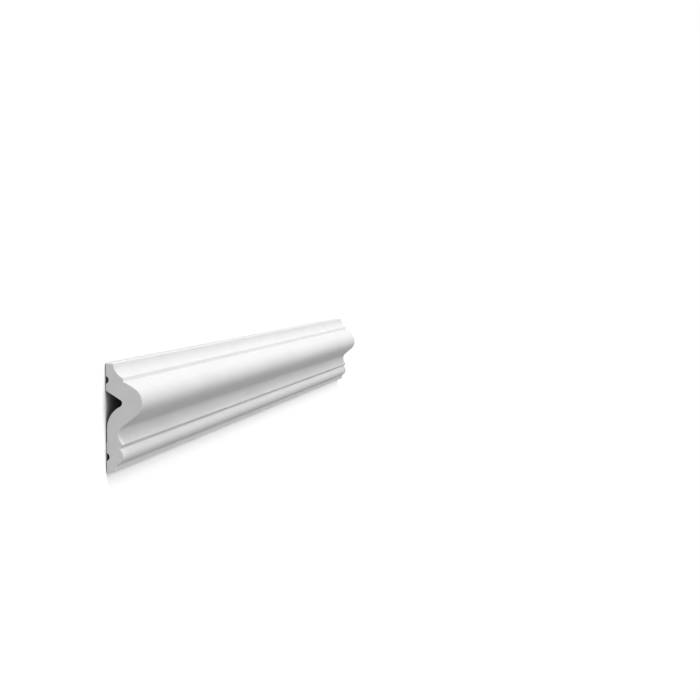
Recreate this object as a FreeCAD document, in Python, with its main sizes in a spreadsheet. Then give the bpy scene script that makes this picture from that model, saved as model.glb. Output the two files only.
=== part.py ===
import FreeCAD, Part
import math
import os

import Sketcher

# One cut length of a hollow-backed panel moulding, moulded in one piece from rigid foam.
# It lies on its back: X runs along it towards the mitred end, Y towards its top edge and
# Z out from the back. The origin is the middle of its footprint on the back plane.
# The section is a stack of members, so each height is a step up from the member below,
# and the top cove takes up what is left below the top edge. Projections are measured
# out from the back plane, and the length is measured on it.

# Each driving dimension has a name, a value in millimetres (degrees for the angle)
# and a meaning.
DIMENSIONS = [
    ("length", 708, "length on the back plane, square end to mitre tip"),
    ("height", 65, "bottom edge to top edge"),
    ("projection", 22.2, "back plane to the crest of the nose"),
    ("mitre_angle", 45, "lean of the mitre from a square cut"),
    ("top_edge", 4.6, "thickness of the flat top edge"),
    ("top_cove_radius", 9.4, "hollow below the top edge"),
    ("fillet_top", 14.5, "crest up to the arris between fillet and top cove"),
    ("fillet_projection", 10.5, "projection of that arris"),
    ("fillet_face", 2.5, "height of the narrow flat fillet above the nose"),
    ("fillet_lean", 0.3, "how much further out the fillet's lower arris stands"),
    ("shoulder_radius", 29.7, "easy curve from the fillet to the nose"),
    ("crest_height", 19.0, "deepest line of the big cove up to the crest of the nose"),
    ("crest_radius", 9.9, "radius of the nose"),
    ("cove_height", 6.1, "lip up to the deepest line of the big cove"),
    ("cove_floor", 7.2, "projection of that line"),
    ("cove_radius", 5.5, "radius of the big cove"),
    ("lip_radius", 16.0, "easy curve from the big cove out to the lip"),
    ("lip_height", 2.4, "sunk line up to the sharp lip below the big cove"),
    ("lip_projection", 10.1, "projection of the lip"),
    ("quirk_height", 4.3, "bead's centre up to the sunk line between bead and lip"),
    ("bead_height", 6.1, "foot's upper arris up to the bead's centre"),
    ("bead_projection", 10.1, "projection of the bead"),
    ("bead_radius", 5.2, "radius of the bead"),
    ("foot_height", 3.2, "foot's lower arris up to its upper arris"),
    ("foot_thickness", 5.15, "projection of the foot's upper arris"),
    ("foot_lean", 0.2, "how much further out the foot's lower arris stands"),
    ("underside_rise", 1.0, "bottom edge up to the foot's lower arris"),
    ("hollow_deepest_height", 0.4, "how far below the crest the back hollow's deepest line lies"),
    ("hollow_depth", 9.85, "depth of the back hollow at that line"),
    ("hollow_tip_radius", 2.35, "rounding along that line"),
    ("hollow_curve_radius", 14.8, "easy curve of the hollow's lower side"),
    ("hollow_top", 7.35, "hollow's deepest line up to its upper arris"),
    ("upper_groove_height", 6.25, "hollow's upper arris up to the upper glue groove's middle"),
    ("lower_groove_height", 9.8, "bottom edge up to the lower glue groove's middle"),
    ("groove_radius", 2.4, "radius of the glue grooves"),
    ("groove_depth", 1.75, "depth of the glue grooves"),
    ("relief_bottom", 8.6, "lower groove's middle up to the end of the shallow relief"),
    ("relief_depth", 0.35, "depth of that relief, which runs up to the hollow"),
]

document = FreeCAD.newDocument("panel_moulding")
sheet = document.addObject("Spreadsheet::Sheet", "dimensions")
for row, (alias, value, meaning) in enumerate(DIMENSIONS, start=1):
    sheet.set(f"A{row}", meaning)
    sheet.set(f"B{row}", str(value))
    sheet.setAlias(f"B{row}", alias)
document.recompute()

body = document.addObject("PartDesign::Body", "panel_moulding")
body.Label = "panel_moulding"

# Ends of a stretch, the sketch's origin point and its axis along the back plane.
FIRST, LAST, CENTRE = 1, 2, 3
ORIGIN = (-1, 1)
BACK_AXIS = -1


def size(alias):
    """Return a driving dimension as a plain number."""
    return float(sheet.get(alias))


def sketch_on(role, name):
    """Return an empty sketch on one of the body's own origin planes."""
    plane = next(item for item in body.Origin.OriginFeatures if item.Role == role)
    sketch = body.newObject("Sketcher::SketchObject", name)
    sketch.AttachmentSupport = [(plane, "")]
    sketch.MapMode = "FlatFace"
    return sketch


def add_line(sketch, first, last):
    """Draw a straight stretch between two points."""
    return sketch.addGeometry(Part.LineSegment(FreeCAD.Vector(*first), FreeCAD.Vector(*last)))


def add_arc(sketch, centre, radius, first_angle, last_angle):
    """Draw a round stretch, anticlockwise between two angles in degrees."""
    circle = Part.Circle(FreeCAD.Vector(*centre), FreeCAD.Vector(0, 0, 1), radius)
    arc = Part.ArcOfCircle(circle, math.radians(first_angle), math.radians(last_angle))
    return sketch.addGeometry(arc)


def centre_behind(point, radius, angle):
    """Return the centre of the circle that passes through a point at an angle."""
    turn = math.radians(angle)
    return (point[0] - radius * math.cos(turn), point[1] - radius * math.sin(turn))


def drive(sketch, name, expression, kind, *where):
    """Add a named dimension and bind it to the driving dimensions."""
    index = sketch.addConstraint(Sketcher.Constraint(kind, *where))
    sketch.renameConstraint(index, name)
    sketch.setExpression(f"Constraints.{name}", expression)


def drive_step(alias, below, above):
    """Bind the height from one point of the section up to another."""
    drive(section, alias, f"dimensions.{alias}", "DistanceX", *below, *above, size(alias))


def drive_projection(name, expression, stretch, end):
    """Bind how far a point of the section stands out from the back plane."""
    now = section.getPoint(stretch, end).y
    drive(section, name, expression, "DistanceY", *ORIGIN, stretch, end, now)


def drive_radius(alias, *arcs):
    """Bind the radius of round stretches."""
    for number, arc in enumerate(arcs):
        drive(section, f"{alias}_{number}", f"dimensions.{alias}", "Radius", arc, size(alias))


# The section. Each stretch is drawn near its place, and the constraints then settle it.
section = sketch_on("YZ_Plane", "section")

# Heights of the members above the bottom edge.
foot_upper_level = size("underside_rise") + size("foot_height")
bead_level = foot_upper_level + size("bead_height")
quirk_level = bead_level + size("quirk_height")
lip_level = quirk_level + size("lip_height")
cove_level = lip_level + size("cove_height")
crest_level = cove_level + size("crest_height")
fillet_upper_level = crest_level + size("fillet_top")
fillet_lower_level = fillet_upper_level - size("fillet_face")
hollow_level = crest_level - size("hollow_deepest_height")
hollow_top_level = hollow_level + size("hollow_top")
lower_groove_level = size("lower_groove_height")
upper_groove_level = hollow_top_level + size("upper_groove_height")
relief_level = lower_groove_level + size("relief_bottom")

# The back, from the bottom edge up. The lands between the glue grooves, the shallow relief
# and the hollow meet the wall.
groove_sink = size("groove_depth") - size("groove_radius")
groove_half = math.sqrt(size("groove_radius") ** 2 - groove_sink ** 2)
groove_angle = math.degrees(math.atan2(-groove_sink, groove_half))
tip_centre = (hollow_level, size("hollow_depth") - size("hollow_tip_radius"))
curve_rise = size("relief_depth") + size("hollow_curve_radius")
curve_drop = curve_rise - tip_centre[1]
curve_reach = size("hollow_curve_radius") + size("hollow_tip_radius")
curve_across = math.sqrt(curve_reach ** 2 - curve_drop ** 2)
curve_level = hollow_level - curve_across
curve_angle = math.degrees(math.atan2(curve_drop, curve_across))
side_reach = math.hypot(size("hollow_top"), tip_centre[1])
side_angle = math.degrees(
    math.acos(size("hollow_tip_radius") / side_reach) - math.atan2(tip_centre[1], size("hollow_top"))
)
relief_foot = (relief_level, 0)
relief_corner = (relief_level, size("relief_depth"))
hollow_arris = (hollow_top_level, 0)
top_back = (size("height"), 0)

lower_land = add_line(section, (0, 0), (lower_groove_level - groove_half, 0))
lower_groove = add_arc(section, (lower_groove_level, groove_sink), size("groove_radius"),
                       groove_angle, 180 - groove_angle)
middle_land = add_line(section, (lower_groove_level + groove_half, 0), relief_foot)
relief_step = add_line(section, relief_foot, relief_corner)
relief = add_line(section, relief_corner, (curve_level, size("relief_depth")))
hollow_curve = add_arc(section, (curve_level, curve_rise), size("hollow_curve_radius"),
                       270, 360 - curve_angle)
hollow_tip = add_arc(section, tip_centre, size("hollow_tip_radius"),
                     side_angle, 180 - curve_angle)
hollow_side = add_line(section, section.getPoint(hollow_tip, FIRST), hollow_arris)
upper_land = add_line(section, hollow_arris, (upper_groove_level - groove_half, 0))
upper_groove = add_arc(section, (upper_groove_level, groove_sink), size("groove_radius"),
                       groove_angle, 180 - groove_angle)
top_land = add_line(section, (upper_groove_level + groove_half, 0), top_back)

# The front, from the top edge down. The angles are where the round stretches end, near
# enough for the constraints to finish.
TOP_COVE_ANGLES = (202, 267)
SHOULDER_ANGLES = (21, 37)
FLANK_ANGLE = 143
COVE_LOWER_ANGLE = 247
LIP_ANGLE = 230
BEAD_ANGLES = (36, 146)
fillet_upper = (fillet_upper_level, size("fillet_projection"))
fillet_lower = (fillet_lower_level, size("fillet_projection") + size("fillet_lean"))
nose_centre = (crest_level, size("projection") - size("crest_radius"))
cove_centre = (cove_level, size("cove_floor") + size("cove_radius"))
lip_arris = (lip_level, size("lip_projection"))
bead_centre = (bead_level, size("bead_projection") - size("bead_radius"))
foot_upper = (foot_upper_level, size("foot_thickness"))
foot_lower = (size("underside_rise"), size("foot_thickness") + size("foot_lean"))

top_edge = add_line(section, top_back, (size("height"), size("top_edge")))
top_cove = add_arc(section, centre_behind(fillet_upper, size("top_cove_radius"), TOP_COVE_ANGLES[0]),
                   size("top_cove_radius"), *TOP_COVE_ANGLES)
fillet = add_line(section, fillet_upper, fillet_lower)
shoulder = add_arc(section, centre_behind(fillet_lower, size("shoulder_radius"), SHOULDER_ANGLES[0]),
                   size("shoulder_radius"), *SHOULDER_ANGLES)
nose = add_arc(section, nose_centre, size("crest_radius"), SHOULDER_ANGLES[1], FLANK_ANGLE)
cove = add_arc(section, cove_centre, size("cove_radius"), COVE_LOWER_ANGLE, FLANK_ANGLE + 180)
flank = add_line(section, section.getPoint(nose, LAST), section.getPoint(cove, LAST))
lip_run = add_arc(section, centre_behind(lip_arris, size("lip_radius"), LIP_ANGLE),
                  size("lip_radius"), LIP_ANGLE, COVE_LOWER_ANGLE)
bead = add_arc(section, bead_centre, size("bead_radius"), *BEAD_ANGLES)
quirk = add_line(section, lip_arris, section.getPoint(bead, FIRST))
bead_side = add_line(section, section.getPoint(bead, LAST), foot_upper)
foot = add_line(section, foot_upper, foot_lower)
underside = add_line(section, foot_lower, (0, 0))

# The outline is closed: each stretch ends where the next begins, and the smooth joins
# are tangent as well.
CORNERS = [
    (underside, LAST, lower_land, FIRST),
    (lower_land, LAST, lower_groove, LAST),
    (lower_groove, FIRST, middle_land, FIRST),
    (middle_land, LAST, relief_step, FIRST),
    (relief_step, LAST, relief, FIRST),
    (hollow_side, LAST, upper_land, FIRST),
    (upper_land, LAST, upper_groove, LAST),
    (upper_groove, FIRST, top_land, FIRST),
    (top_land, LAST, top_edge, FIRST),
    (top_edge, LAST, top_cove, LAST),
    (top_cove, FIRST, fillet, FIRST),
    (fillet, LAST, shoulder, FIRST),
    (lip_run, FIRST, quirk, FIRST),
    (quirk, LAST, bead, FIRST),
    (bead_side, LAST, foot, FIRST),
    (foot, LAST, underside, FIRST),
]
SMOOTH_JOINS = [
    (relief, LAST, hollow_curve, FIRST),
    (hollow_curve, LAST, hollow_tip, LAST),
    (hollow_tip, FIRST, hollow_side, FIRST),
    (shoulder, LAST, nose, FIRST),
    (nose, LAST, flank, FIRST),
    (flank, LAST, cove, LAST),
    (cove, FIRST, lip_run, LAST),
    (bead, LAST, bead_side, FIRST),
]
for corner in CORNERS:
    section.addConstraint(Sketcher.Constraint("Coincident", *corner))
for join in SMOOTH_JOINS:
    section.addConstraint(Sketcher.Constraint("Tangent", *join))

# The lands lie on the back plane, and the relief and the top edge are square to it.
LAND_ENDS = [
    (lower_land, LAST),
    (middle_land, FIRST),
    (middle_land, LAST),
    (upper_land, FIRST),
    (upper_land, LAST),
    (top_land, FIRST),
    (top_land, LAST),
]
section.addConstraint(Sketcher.Constraint("Coincident", lower_land, FIRST, *ORIGIN))
for stretch, end in LAND_ENDS:
    section.addConstraint(Sketcher.Constraint("PointOnObject", stretch, end, BACK_AXIS))
section.addConstraint(Sketcher.Constraint("Vertical", relief_step))
section.addConstraint(Sketcher.Constraint("Horizontal", relief))
section.addConstraint(Sketcher.Constraint("Vertical", top_edge))

# Steps in height from member to member.
drive_step("height", ORIGIN, (top_edge, LAST))
drive_step("underside_rise", ORIGIN, (foot, LAST))
drive_step("foot_height", (foot, LAST), (foot, FIRST))
drive_step("bead_height", (foot, FIRST), (bead, CENTRE))
drive_step("quirk_height", (bead, CENTRE), (quirk, LAST))
drive_step("lip_height", (quirk, LAST), (quirk, FIRST))
drive_step("cove_height", (quirk, FIRST), (cove, CENTRE))
drive_step("crest_height", (cove, CENTRE), (nose, CENTRE))
drive_step("fillet_top", (nose, CENTRE), (fillet, FIRST))
drive_step("fillet_face", (fillet, LAST), (fillet, FIRST))
drive_step("hollow_deepest_height", (hollow_tip, CENTRE), (nose, CENTRE))
drive_step("hollow_top", (hollow_tip, CENTRE), (hollow_side, LAST))
drive_step("upper_groove_height", (hollow_side, LAST), (upper_groove, CENTRE))
drive_step("lower_groove_height", ORIGIN, (lower_groove, CENTRE))
drive_step("relief_bottom", (lower_groove, CENTRE), (relief_step, LAST))

# Projections from the back plane.
drive_projection("top_edge", "dimensions.top_edge", top_edge, LAST)
drive_projection("fillet_projection", "dimensions.fillet_projection", fillet, FIRST)
drive_projection("fillet_lean", "dimensions.fillet_projection + dimensions.fillet_lean",
                 fillet, LAST)
drive_projection("projection", "dimensions.projection - dimensions.crest_radius", nose, CENTRE)
drive_projection("cove_floor", "dimensions.cove_floor + dimensions.cove_radius", cove, CENTRE)
drive_projection("lip_projection", "dimensions.lip_projection", quirk, FIRST)
drive_projection("bead_projection", "dimensions.bead_projection - dimensions.bead_radius",
                 bead, CENTRE)
drive_projection("foot_thickness", "dimensions.foot_thickness", foot, FIRST)
drive_projection("foot_lean", "dimensions.foot_thickness + dimensions.foot_lean", foot, LAST)
drive_projection("hollow_depth", "dimensions.hollow_depth - dimensions.hollow_tip_radius",
                 hollow_tip, CENTRE)
drive_projection("relief_depth", "dimensions.relief_depth", relief_step, LAST)
drive_projection("lower_groove_depth", "dimensions.groove_depth - dimensions.groove_radius",
                 lower_groove, CENTRE)
drive_projection("upper_groove_depth", "dimensions.groove_depth - dimensions.groove_radius",
                 upper_groove, CENTRE)

# Radii of the round stretches.
drive_radius("top_cove_radius", top_cove)
drive_radius("shoulder_radius", shoulder)
drive_radius("crest_radius", nose)
drive_radius("cove_radius", cove)
drive_radius("lip_radius", lip_run)
drive_radius("bead_radius", bead)
drive_radius("hollow_tip_radius", hollow_tip)
drive_radius("hollow_curve_radius", hollow_curve)
drive_radius("groove_radius", lower_groove, upper_groove)

# The moulding runs along its length from its square end.
run = body.newObject("PartDesign::Pad", "run")
run.Profile = section
run.setExpression("Length", "dimensions.length")
document.recompute()
run_volume = run.Shape.Volume

# The far end is mitred for an inside corner: the front is shorter than the back.
# The waste is a wedge that starts on the back plane and rises to twice the projection,
# so it passes well clear of the crest.
mitre_waste = sketch_on("XZ_Plane", "mitre_waste")
waste_height = 2 * size("projection")
waste_width = waste_height * math.tan(math.radians(size("mitre_angle")))
waste_tip = (size("length"), 0)
waste_far = (size("length"), waste_height)
waste_near = (size("length") - waste_width, waste_height)
waste_end = add_line(mitre_waste, waste_tip, waste_far)
waste_top = add_line(mitre_waste, waste_far, waste_near)
saw_line = add_line(mitre_waste, waste_near, waste_tip)
WASTE_CORNERS = [
    (waste_end, LAST, waste_top, FIRST),
    (waste_top, LAST, saw_line, FIRST),
    (saw_line, LAST, waste_end, FIRST),
]
for corner in WASTE_CORNERS:
    mitre_waste.addConstraint(Sketcher.Constraint("Coincident", *corner))
mitre_waste.addConstraint(Sketcher.Constraint("Vertical", waste_end))
mitre_waste.addConstraint(Sketcher.Constraint("Horizontal", waste_top))
mitre_waste.addConstraint(Sketcher.Constraint("PointOnObject", waste_end, FIRST, BACK_AXIS))
drive(mitre_waste, "tip", "dimensions.length", "DistanceX",
      *ORIGIN, waste_end, FIRST, size("length"))
drive(mitre_waste, "waste_height", "2 * dimensions.projection", "DistanceY",
      waste_end, FIRST, waste_end, LAST, waste_height)
drive(mitre_waste, "mitre_angle", "dimensions.mitre_angle * 1 deg", "Angle",
      waste_end, FIRST, saw_line, LAST, math.radians(size("mitre_angle")))

mitre = body.newObject("PartDesign::Pocket", "mitre")
mitre.Profile = mitre_waste
mitre.Type = "ThroughAll"
body.Tip = mitre

# The origin goes to the middle of the footprint.
body.setExpression("Placement.Base.x", "-dimensions.length / 2")
body.setExpression("Placement.Base.y", "-dimensions.height / 2")
document.recompute()

for item in document.Objects:
    if "Invalid" in item.State or "Error" in item.State:
        raise RuntimeError(f"{item.Name} failed: {item.State}")
for sketch in (section, mitre_waste):
    if not sketch.FullyConstrained:
        raise RuntimeError(f"{sketch.Name} is not fully constrained")
if body.Shape.isNull() or not body.Shape.isValid() or len(body.Shape.Solids) != 1:
    raise RuntimeError("the moulding is not one valid solid")
if not body.Shape.Volume < run_volume:
    raise RuntimeError("the mitre cut nothing")

os.makedirs("parts", exist_ok=True)
body.Shape.exportStep(f"parts/{body.Label}.step")
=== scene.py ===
import math

import bmesh
import bpy
from mathutils import Matrix, Vector


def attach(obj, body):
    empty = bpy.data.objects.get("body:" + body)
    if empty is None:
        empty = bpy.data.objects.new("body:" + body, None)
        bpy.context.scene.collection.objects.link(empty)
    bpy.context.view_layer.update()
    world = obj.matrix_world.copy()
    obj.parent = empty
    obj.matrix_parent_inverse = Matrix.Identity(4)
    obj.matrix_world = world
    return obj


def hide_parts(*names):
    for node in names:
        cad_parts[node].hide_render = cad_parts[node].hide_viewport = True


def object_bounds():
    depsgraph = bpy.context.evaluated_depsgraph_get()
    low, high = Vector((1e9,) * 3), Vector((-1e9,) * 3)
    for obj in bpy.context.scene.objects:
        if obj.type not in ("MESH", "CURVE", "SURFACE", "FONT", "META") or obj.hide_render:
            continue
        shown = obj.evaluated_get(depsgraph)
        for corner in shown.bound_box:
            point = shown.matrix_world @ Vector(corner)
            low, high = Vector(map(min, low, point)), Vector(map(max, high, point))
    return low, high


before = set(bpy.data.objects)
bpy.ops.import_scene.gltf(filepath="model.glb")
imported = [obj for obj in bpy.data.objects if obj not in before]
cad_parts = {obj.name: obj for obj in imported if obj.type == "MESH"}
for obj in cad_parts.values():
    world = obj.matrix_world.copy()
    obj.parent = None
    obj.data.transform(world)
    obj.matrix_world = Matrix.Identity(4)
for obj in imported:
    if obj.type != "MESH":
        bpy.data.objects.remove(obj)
cad_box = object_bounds()

# The length of moulding: rigid foam from a closed mould, with a nose, two coves and a bead on its face
# and a hollow and two glue grooves along its back. The face and the edges are sprayed with white primer.
# It is sawn square at one end and on a mitre at the other, which leaves bare foam on both cuts.

# The section is drawn in millimetres as (height above the bottom edge, projection from the back).
millimetre = 0.001
length, height, projection = (cad_box[1] - cad_box[0]) / millimetre

top_edge = 4.6
top_cove_radius = 9.4
fillet_upper = Vector((56.6, 10.5))
fillet_lower = Vector((54.1, 10.8))
shoulder_radius = 29.7
nose_radius = 9.9
nose_centre = Vector((42.1, projection - nose_radius))
cove_radius = 5.5
cove_floor = 7.2
cove_centre = Vector((23.1, cove_floor + cove_radius))
lip_radius = 16.0
lip = Vector((17.0, 10.1))
bead_radius = 5.2
bead_projection = 10.1
bead_centre = Vector((10.3, bead_projection - bead_radius))
quirk_height = 14.6
foot_upper = Vector((4.2, 5.15))
foot_lower = Vector((1.0, 5.35))

groove_heights = (9.8, 55.3)
groove_radius = 2.4
groove_depth = 1.75
relief_bottom = 18.4
relief_depth = 0.35
hollow_curve_radius = 14.8
hollow_tip_radius = 2.35
hollow_depth = 9.85
hollow_tip_centre = Vector((41.7, hollow_depth - hollow_tip_radius))
hollow_top = Vector((49.05, 0.0))

mitre_lean = math.radians(45)
offcut = 5.0
face_arris_softness = 0.3
back_arris_softness = 0.25
sawn_arris_softness = 0.12
arris_steps = 3
arris_angle = math.radians(12)
sharp_angle = math.radians(40)
arc_step = math.radians(4)
fewest_arc_steps = 4
merge_distance = 0.005


def crossing(first, first_radius, second, second_radius, side):
    """Return where two circles cross, to the left (1) or right (-1) of the way from first to second."""
    way = second - first
    gap = way.length
    along = (gap ** 2 + first_radius ** 2 - second_radius ** 2) / (2 * gap)
    across = math.sqrt(first_radius ** 2 - along ** 2)
    way.normalize()
    return first + way * along + Vector((-way.y, way.x)) * across * side


def touch_from(point, centre, radius, side):
    """Return where a line from a point touches a circle, left (1) or right (-1) of the way to the point."""
    reach = math.sqrt((point - centre).length_squared - radius ** 2)
    return crossing(centre, radius, point, reach, side)


def meeting(centre, radius, other):
    """Return where a circle meets another smoothly: on the line from its centre through the other's."""
    return centre + (other - centre).normalized() * radius


foam = bmesh.new()


def draw_straight(tip, point):
    """Draw a straight stretch of the section from its last point."""
    tip = bmesh.ops.extrude_vert_indiv(foam, verts=[tip])["verts"][0]
    tip.co = (0, point.x, point.y)
    return tip


def draw_round(tip, centre, point):
    """Draw a round stretch of the section about a centre, the shorter way to a point."""
    first = Vector((tip.co.y, tip.co.z)) - centre
    last = point - centre
    turn = math.atan2(first.x * last.y - first.y * last.x, first.dot(last))
    spun = bmesh.ops.spin(
        foam,
        geom=[tip],
        cent=(0, centre.x, centre.y),
        axis=(1, 0, 0),
        angle=turn,
        steps=max(fewest_arc_steps, round(abs(turn) / arc_step)),
    )
    return spun["geom_last"][0]


def draw_groove(tip, groove_height):
    """Draw a land up to a glue groove, and the groove's round bottom."""
    sunk = groove_radius - groove_depth
    half_width = math.sqrt(groove_radius ** 2 - sunk ** 2)
    tip = draw_straight(tip, Vector((groove_height - half_width, 0)))
    return draw_round(tip, Vector((groove_height, -sunk)), Vector((groove_height + half_width, 0)))


# The back is drawn upwards: land, groove, land, relief, hollow, land, groove, land.
hollow_curve_reach = hollow_curve_radius + hollow_tip_radius
hollow_curve_rise = relief_depth + hollow_curve_radius - hollow_tip_centre.y
hollow_curve_run = math.sqrt(hollow_curve_reach ** 2 - hollow_curve_rise ** 2)
hollow_curve_centre = hollow_tip_centre + Vector((-hollow_curve_run, hollow_curve_rise))
hollow_inner = meeting(hollow_curve_centre, hollow_curve_radius, hollow_tip_centre)
hollow_outer = touch_from(hollow_top, hollow_tip_centre, hollow_tip_radius, 1)
tip = foam.verts.new((0, 0, 0))
tip = draw_groove(tip, groove_heights[0])
tip = draw_straight(tip, Vector((relief_bottom, 0)))
tip = draw_straight(tip, Vector((relief_bottom, relief_depth)))
tip = draw_straight(tip, Vector((hollow_curve_centre.x, relief_depth)))
tip = draw_round(tip, hollow_curve_centre, hollow_inner)
tip = draw_round(tip, hollow_tip_centre, hollow_outer)
tip = draw_straight(tip, hollow_top)
tip = draw_groove(tip, groove_heights[1])
tip = draw_straight(tip, Vector((height, 0)))

# The face is drawn downwards: top edge, cove, fillet, shoulder, nose, flank, cove, lip, quirk, bead, foot.
top_arris = Vector((height, top_edge))
top_cove_centre = crossing(top_arris, top_cove_radius, fillet_upper, top_cove_radius, -1)
shoulder_centre = crossing(fillet_lower, shoulder_radius, nose_centre, shoulder_radius - nose_radius, 1)
flank_middle = nose_centre.lerp(cove_centre, nose_radius / (nose_radius + cove_radius))
lip_centre = crossing(lip, lip_radius, cove_centre, lip_radius - cove_radius, 1)
quirk_rise = math.sqrt(bead_radius ** 2 - (quirk_height - bead_centre.x) ** 2)
tip = draw_straight(tip, top_arris)
tip = draw_round(tip, top_cove_centre, fillet_upper)
tip = draw_straight(tip, fillet_lower)
tip = draw_round(tip, shoulder_centre, meeting(shoulder_centre, shoulder_radius, nose_centre))
tip = draw_round(tip, nose_centre, touch_from(flank_middle, nose_centre, nose_radius, -1))
tip = draw_straight(tip, touch_from(flank_middle, cove_centre, cove_radius, -1))
tip = draw_round(tip, cove_centre, meeting(lip_centre, lip_radius, cove_centre))
tip = draw_round(tip, lip_centre, lip)
tip = draw_straight(tip, Vector((quirk_height, bead_centre.y + quirk_rise)))
tip = draw_round(tip, bead_centre, touch_from(foot_upper, bead_centre, bead_radius, -1))
tip = draw_straight(tip, foot_upper)
tip = draw_straight(tip, foot_lower)
tip = draw_straight(tip, Vector((0, 0)))
bmesh.ops.remove_doubles(foam, verts=foam.verts, dist=merge_distance)

# The section runs the whole length and an offcut more, and both of its ends are square at first.
run = bmesh.ops.extrude_edge_only(foam, edges=foam.edges)["geom"]
far_end = [item for item in run if isinstance(item, bmesh.types.BMVert)]
bmesh.ops.translate(foam, verts=far_end, vec=(length + offcut, 0, 0))
sawn_faces = bmesh.ops.holes_fill(foam, edges=foam.edges, sides=0)["faces"]
bmesh.ops.recalc_face_normals(foam, faces=foam.faces)

# The finishes are numbered in the order in which they go on below.
primed, sawn, bare = range(3)
for face in foam.faces:
    middle = face.calc_center_median()
    is_relief_step = abs(middle.y - relief_bottom) < merge_distance and middle.z < relief_depth
    is_back = face.normal.z < -math.sin(arris_angle)
    face.material_index = bare if is_back or is_relief_step else primed
for face in sawn_faces:
    face.material_index = sawn


def soften(edges, softness):
    """Round over some arrises of the moulding."""
    bmesh.ops.bevel(
        foam,
        geom=edges,
        offset=softness,
        segments=arris_steps,
        profile=0.5,
        affect="EDGES",
        material=-1,
    )


def arrises(on_back):
    """Return the edges that stand out along the moulding, of its back or of its face."""
    return [
        edge
        for edge in foam.edges
        if not any(face.material_index == sawn for face in edge.link_faces)
        and edge.calc_face_angle_signed() > arris_angle
        and on_back == any(face.material_index == bare for face in edge.link_faces)
    ]


soften(arrises(on_back=False), face_arris_softness)
soften(arrises(on_back=True), back_arris_softness)

# The saw takes the offcut off on the mitre, and the arrises of both cuts are rubbed down.
bmesh.ops.bisect_plane(
    foam,
    geom=foam.verts[:] + foam.edges[:] + foam.faces[:],
    plane_co=(length, 0, 0),
    plane_no=(math.cos(mitre_lean), 0, math.sin(mitre_lean)),
    clear_outer=True,
)
for face in bmesh.ops.holes_fill(foam, edges=foam.edges, sides=0)["faces"]:
    face.material_index = sawn
bmesh.ops.recalc_face_normals(foam, faces=foam.faces)
soften(
    [
        edge
        for edge in foam.edges
        if {face.material_index for face in edge.link_faces} == {primed, sawn}
    ],
    sawn_arris_softness,
)
bmesh.ops.dissolve_degenerate(foam, edges=foam.edges, dist=merge_distance)

bmesh.ops.scale(foam, verts=foam.verts, vec=(millimetre,) * 3)
bmesh.ops.translate(foam, verts=foam.verts, vec=cad_box[0])
moulding_mesh = bpy.data.meshes.new("moulding")
foam.to_mesh(moulding_mesh)
foam.free()
moulding_mesh.shade_smooth()
moulding_mesh.set_sharp_from_angle(angle=sharp_angle)
moulding = bpy.data.objects.new("moulding", moulding_mesh)
bpy.context.collection.objects.link(moulding)
# Flat faces are shaded flat up to their rounded arrises, and alike along the whole length.
flat_faces = moulding.modifiers.new("flat faces", "WEIGHTED_NORMAL")
flat_faces.keep_sharp = True


def add_node(tree, kind, inputs, **options):
    """Add a shader node, with plain values or other nodes' outputs as its inputs."""
    node = tree.nodes.new(kind)
    for name, value in options.items():
        setattr(node, name, value)
    for name, value in inputs.items():
        if isinstance(value, bpy.types.NodeSocket):
            tree.links.new(value, node.inputs[name])
        else:
            node.inputs[name].default_value = value
    return node


def add_effect(name, inputs, outputs):
    """Make an empty node group, and return it with its inputs and outputs as seen from inside."""
    effect = bpy.data.node_groups.new(name, "ShaderNodeTree")
    for way, sockets in (("INPUT", inputs), ("OUTPUT", outputs)):
        for socket_name, kind in sockets.items():
            effect.interface.new_socket(socket_name, in_out=way, socket_type=kind)
    given = effect.nodes.new("NodeGroupInput").outputs
    result = effect.nodes.new("NodeGroupOutput").inputs
    return effect, given, result


# Patches: the tone of every finish drifts a little from place to place.
patches, given, result = add_effect(
    "patches",
    {
        "Place": "NodeSocketVector",
        "Colour": "NodeSocketColor",
        "Patches per metre": "NodeSocketFloat",
        "Drift": "NodeSocketFloat",
    },
    {"Colour": "NodeSocketColor"},
)
cloud_low, cloud_high = 0.3, 0.7
cloud = add_node(
    patches,
    "ShaderNodeTexNoise",
    {"Vector": given["Place"], "Scale": given["Patches per metre"], "Detail": 3.0},
)
darkest = add_node(patches, "ShaderNodeMath", {0: 1.0, 1: given["Drift"]}, operation="SUBTRACT")
tone = add_node(
    patches,
    "ShaderNodeMapRange",
    {
        "Value": cloud.outputs["Fac"],
        "From Min": cloud_low,
        "From Max": cloud_high,
        "To Min": darkest.outputs[0],
        "To Max": 1.0,
    },
)
drifted = add_node(
    patches, "ShaderNodeHueSaturation", {"Color": given["Colour"], "Value": tone.outputs["Result"]}
)
patches.links.new(drifted.outputs["Color"], result["Colour"])

# Drag lines: faint marks along the length, where the foam slid past the mould and the spray passed.
drag_lines, given, result = add_effect(
    "drag lines",
    {"Place": "NodeSocketVector", "Lines per metre": "NodeSocketFloat"},
    {"Height": "NodeSocketFloat"},
)
drag_stretch = (0.015, 1.0, 1.0)
stretched = add_node(drag_lines, "ShaderNodeMapping", {"Vector": given["Place"], "Scale": drag_stretch})
lines = add_node(
    drag_lines,
    "ShaderNodeTexNoise",
    {"Vector": stretched.outputs["Vector"], "Scale": given["Lines per metre"], "Detail": 2.0},
)
drag_lines.links.new(lines.outputs["Fac"], result["Height"])

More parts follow.
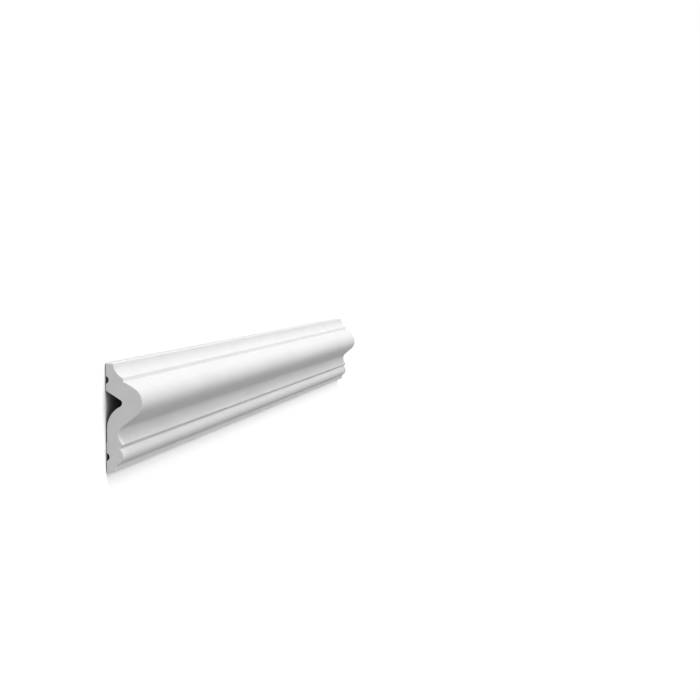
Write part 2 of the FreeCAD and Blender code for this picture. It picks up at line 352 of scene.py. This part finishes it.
# Foam cells: rounded bubbles packed side by side, some of them open as pinholes, whose colour is darkened
# as painted shade.
foam_cells, given, result = add_effect(
    "foam cells",
    {
        "Place": "NodeSocketVector",
        "Colour": "NodeSocketColor",
        "Cells per metre": "NodeSocketFloat",
        "Open share": "NodeSocketFloat",
    },
    {"Colour": "NodeSocketColor", "Height": "NodeSocketFloat", "Shade": "NodeSocketFloat"},
)
pinhole_floor, pinhole_rim = 0.2, 0.5
# How much darker the open pinholes are painted: painted shade in them.
pinhole_painted_shade = -0.15
cell = add_node(
    foam_cells, "ShaderNodeTexVoronoi", {"Vector": given["Place"], "Scale": given["Cells per metre"]}
)
chance = add_node(foam_cells, "ShaderNodeSeparateColor", {"Color": cell.outputs["Color"]})
is_open = add_node(
    foam_cells, "ShaderNodeMath", {0: chance.outputs["Red"], 1: given["Open share"]}, operation="LESS_THAN"
)
middle_of_cell = add_node(
    foam_cells,
    "ShaderNodeMapRange",
    {
        "Value": cell.outputs["Distance"],
        "From Min": pinhole_floor,
        "From Max": pinhole_rim,
        "To Min": 1.0,
        "To Max": 0.0,
    },
    interpolation_type="SMOOTHSTEP",
)
pinhole = add_node(
    foam_cells,
    "ShaderNodeMath",
    {0: is_open.outputs[0], 1: middle_of_cell.outputs["Result"]},
    operation="MULTIPLY",
)
height_of_cells = add_node(
    foam_cells, "ShaderNodeMath", {0: cell.outputs["Distance"], 1: pinhole.outputs[0]}, operation="SUBTRACT"
)
shade_of_cells = add_node(
    foam_cells,
    "ShaderNodeMath",
    {0: pinhole.outputs[0], 1: pinhole_painted_shade, 2: 1.0},
    operation="MULTIPLY_ADD",
)
# The colour is darkened in the open pinholes as painted shade.
pitted_with_painted_shade = add_node(
    foam_cells, "ShaderNodeHueSaturation", {"Color": given["Colour"], "Value": shade_of_cells.outputs[0]}
)
foam_cells.links.new(pitted_with_painted_shade.outputs["Color"], result["Colour"])
foam_cells.links.new(height_of_cells.outputs[0], result["Height"])
foam_cells.links.new(shade_of_cells.outputs[0], result["Shade"])


def add_finish(name):
    """Put a new finish on the moulding, and return its nodes and the moulding's own coordinates."""
    finish = bpy.data.materials.new(name)
    finish.use_nodes = True
    moulding_mesh.materials.append(finish)
    tree = finish.node_tree
    return tree, tree.nodes.new("ShaderNodeTexCoord").outputs["Object"]


def add_bumps(tree, main, extra, share):
    """Return the height of the main bumps with a share of some extra ones added."""
    return add_node(
        tree, "ShaderNodeMath", {0: extra, 1: share, 2: main}, operation="MULTIPLY_ADD"
    ).outputs[0]


def lay_finish(tree, colour, dullness, bumps, strength, depth, shine):
    """Give a finish its colour, its dullness, the relief of its bumps, and one shine all over."""
    relief = add_node(tree, "ShaderNodeBump", {"Height": bumps, "Strength": strength, "Distance": depth})
    shader = tree.nodes["Principled BSDF"]
    shader.inputs["Specular IOR Level"].default_value = shine
    tree.links.new(colour, shader.inputs["Base Color"])
    tree.links.new(dullness, shader.inputs["Roughness"])
    tree.links.new(relief.outputs["Normal"], shader.inputs["Normal"])


# White primer: a thin matt spray coat, with the slight stipple that it dries to.
primer_white = (0.84, 0.84, 0.84, 1)
primer, place = add_finish("white primer")
tone = add_node(
    primer,
    "ShaderNodeGroup",
    {"Place": place, "Colour": primer_white, "Patches per metre": 30.0, "Drift": 0.04},
    node_tree=patches,
)
drag = add_node(primer, "ShaderNodeGroup", {"Place": place, "Lines per metre": 900.0}, node_tree=drag_lines)
stipple = add_node(primer, "ShaderNodeTexNoise", {"Vector": place, "Scale": 800.0, "Detail": 3.0})
dullness = add_node(
    primer, "ShaderNodeMapRange", {"Value": stipple.outputs["Fac"], "To Min": 0.68, "To Max": 0.84}
)
lay_finish(
    primer,
    colour=tone.outputs["Colour"],
    dullness=dullness.outputs["Result"],
    bumps=add_bumps(primer, main=stipple.outputs["Fac"], extra=drag.outputs["Height"], share=0.2),
    strength=0.5,
    depth=0.0002,
    shine=0.3,
)

# Sawn foam: cut cells and pinholes, crossed by the fine lines that the saw leaves.
sawn_white = (0.81, 0.81, 0.81, 1)
cut, place = add_finish("sawn foam")
tone = add_node(
    cut,
    "ShaderNodeGroup",
    {"Place": place, "Colour": sawn_white, "Patches per metre": 90.0, "Drift": 0.05},
    node_tree=patches,
)
cells = add_node(
    cut,
    "ShaderNodeGroup",
    {"Place": place, "Colour": tone.outputs["Colour"], "Cells per metre": 2400.0, "Open share": 0.05},
    node_tree=foam_cells,
)
saw_lines = add_node(
    cut,
    "ShaderNodeTexWave",
    {"Vector": place, "Scale": 220.0, "Distortion": 3.0, "Detail": 2.0, "Detail Scale": 0.4},
    wave_type="BANDS",
    bands_direction="Y",
)
dullness = add_node(
    cut, "ShaderNodeMapRange", {"Value": cells.outputs["Shade"], "To Min": 0.95, "To Max": 0.82}
)
lay_finish(
    cut,
    colour=cells.outputs["Colour"],
    dullness=dullness.outputs["Result"],
    bumps=add_bumps(cut, main=cells.outputs["Height"], extra=saw_lines.outputs["Fac"], share=0.25),
    strength=0.2,
    depth=0.0002,
    shine=0.2,
)

# Bare foam: the skin that the back keeps from the mould, with drag lines and a few small pinholes.
# Its grey, well below the cut foam's white, is partly painted shade for the hollow and the grooves.
skin_grey_with_painted_shade = (0.60, 0.60, 0.59, 1)
skin, place = add_finish("bare foam")
tone = add_node(
    skin,
    "ShaderNodeGroup",
    {"Place": place, "Colour": skin_grey_with_painted_shade, "Patches per metre": 45.0, "Drift": 0.08},
    node_tree=patches,
)
drag = add_node(skin, "ShaderNodeGroup", {"Place": place, "Lines per metre": 600.0}, node_tree=drag_lines)
cells = add_node(
    skin,
    "ShaderNodeGroup",
    {"Place": place, "Colour": tone.outputs["Colour"], "Cells per metre": 700.0, "Open share": 0.02},
    node_tree=foam_cells,
)
dullness = add_node(
    skin, "ShaderNodeMapRange", {"Value": drag.outputs["Height"], "To Min": 0.6, "To Max": 0.8}
)
lay_finish(
    skin,
    colour=cells.outputs["Colour"],
    dullness=dullness.outputs["Result"],
    bumps=add_bumps(skin, main=drag.outputs["Height"], extra=cells.outputs["Height"], share=0.5),
    strength=0.25,
    depth=0.0003,
    shine=0.3,
)

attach(moulding, "root")
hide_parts("panel_moulding")

# The floor: a plain matt white sheet under the moulding, whose back never lies quite flat on it.
# It shows as white where no shadow falls on it. Close to the moulding its colour and its lift to white are
# darkened by how shut in it is: a painted contact shadow, added to the shadow the lamps cast.
floor_reach = 6.0
floor_clearance = 0.00045
floor_colour = 0.9
floor_lift = 0.41
painted_shadow_reach = 0.03
# How open the floor is to the room: where the painted shadow is deepest, where it ends, and well clear of
# it.
openness_in_shadow, openness_at_edge, openness_in_clear = 0.15, 0.65, 0.95
floor_mesh = bpy.data.meshes.new("floor")
sheet = bmesh.new()
bmesh.ops.create_grid(sheet, x_segments=1, y_segments=1, size=floor_reach)
bmesh.ops.translate(sheet, verts=sheet.verts, vec=(0, 0, cad_box[0].z - floor_clearance))
sheet.to_mesh(floor_mesh)
sheet.free()
floor = bpy.data.objects.new("floor", floor_mesh)
bpy.context.collection.objects.link(floor)


def looked_at(tree):
    """Return an output that is 1 to the camera, to reflections and through glass, and 0 to other light."""
    path = tree.nodes.new("ShaderNodeLightPath").outputs
    direct = add_node(
        tree, "ShaderNodeMath", {0: path["Is Camera Ray"], 1: path["Is Glossy Ray"]}, operation="MAXIMUM"
    )
    return add_node(
        tree, "ShaderNodeMath", {0: direct.outputs[0], 1: path["Is Transmission Ray"]}, operation="MAXIMUM"
    ).outputs[0]


floor_white = bpy.data.materials.new("floor white")
floor_white.use_nodes = True
floor_mesh.materials.append(floor_white)
floor_nodes = floor_white.node_tree
floor_nodes.nodes.clear()
surroundings = add_node(
    floor_nodes, "ShaderNodeAmbientOcclusion", {"Distance": painted_shadow_reach}, samples=16
)
openness = surroundings.outputs["AO"]
# Painted shadow: the floor's colour and its lift to white fall off where the moulding closes it in.
painted_shadow_whiteness = add_node(
    floor_nodes,
    "ShaderNodeMapRange",
    {
        "Value": openness,
        "From Min": openness_in_shadow,
        "From Max": openness_at_edge,
        "To Max": floor_colour,
    },
)
painted_shadow_lift = add_node(
    floor_nodes,
    "ShaderNodeMapRange",
    {"Value": openness, "From Max": openness_in_clear, "To Max": floor_lift},
)
seen_lift = add_node(
    floor_nodes,
    "ShaderNodeMath",
    {0: looked_at(floor_nodes), 1: painted_shadow_lift.outputs["Result"]},
    operation="MULTIPLY",
)
glow = add_node(floor_nodes, "ShaderNodeEmission", {"Strength": seen_lift.outputs[0]})
matt = add_node(floor_nodes, "ShaderNodeBsdfDiffuse", {"Color": painted_shadow_whiteness.outputs["Result"]})
both = add_node(floor_nodes, "ShaderNodeAddShader", {0: matt.outputs[0], 1: glow.outputs[0]})
add_node(floor_nodes, "ShaderNodeOutputMaterial", {"Surface": both.outputs[0]})

# The light: a soft key lamp on the side of the moulding's top edge, a soft lamp in front of its face,
# and an even white room.
room_level = 0.19


def hang_lamp(name, rise, swing, strength, spread):
    """Hang a far lamp: rise from the face's front to the top edge, swing to the square end, in degrees."""
    rise = math.radians(rise)
    swing = math.radians(swing)
    way = Vector((-math.sin(swing), math.cos(swing) * math.sin(rise), math.cos(swing) * math.cos(rise)))
    lamp = bpy.data.lights.new(name, "SUN")
    lamp.energy = strength
    lamp.angle = math.radians(spread)
    hung = bpy.data.objects.new(name, lamp)
    hung.rotation_euler = way.to_track_quat("Z", "Y").to_euler()
    bpy.context.collection.objects.link(hung)


hang_lamp("key", rise=64, swing=15, strength=1.72, spread=35)
hang_lamp("front", rise=25, swing=0, strength=1.14, spread=35)

room = bpy.data.worlds.new("room")
room.use_nodes = True
bpy.context.scene.world = room
room_nodes = room.node_tree
brightness = add_node(
    room_nodes, "ShaderNodeMapRange", {"Value": looked_at(room_nodes), "To Min": room_level, "To Max": 1.0}
)
backdrop = room_nodes.nodes["Background"]
backdrop.inputs["Color"].default_value = (1, 1, 1, 1)
room_nodes.links.new(brightness.outputs["Result"], backdrop.inputs["Strength"])

# The camera: a long lens beyond the square end, a little above the face, looking along the moulding.
# Up in the picture is up the section, from the bottom edge to the top edge.
camera_place = Vector((-1.1383, 0.0893, 0.2932))
camera_aim = Vector((0.4231, -0.0055, 0.0))
camera_roll = math.radians(-0.143)
up_the_section = Vector((0, 1, 0))
back = (camera_place - camera_aim).normalized()
right = up_the_section.cross(back).normalized()
level = Matrix((right, back.cross(right), back)).transposed()
turned = level @ Matrix.Rotation(camera_roll, 3, "Z")
view = bpy.data.cameras.new("camera")
view.lens = 72.5
view.sensor_width = 36
camera = bpy.data.objects.new("camera", view)
camera.matrix_world = Matrix.Translation(camera_place) @ turned.to_4x4()
bpy.context.collection.objects.link(camera)
bpy.context.scene.camera = camera
bpy.context.scene.view_settings.view_transform = "Standard"

bpy.context.view_layer.update()
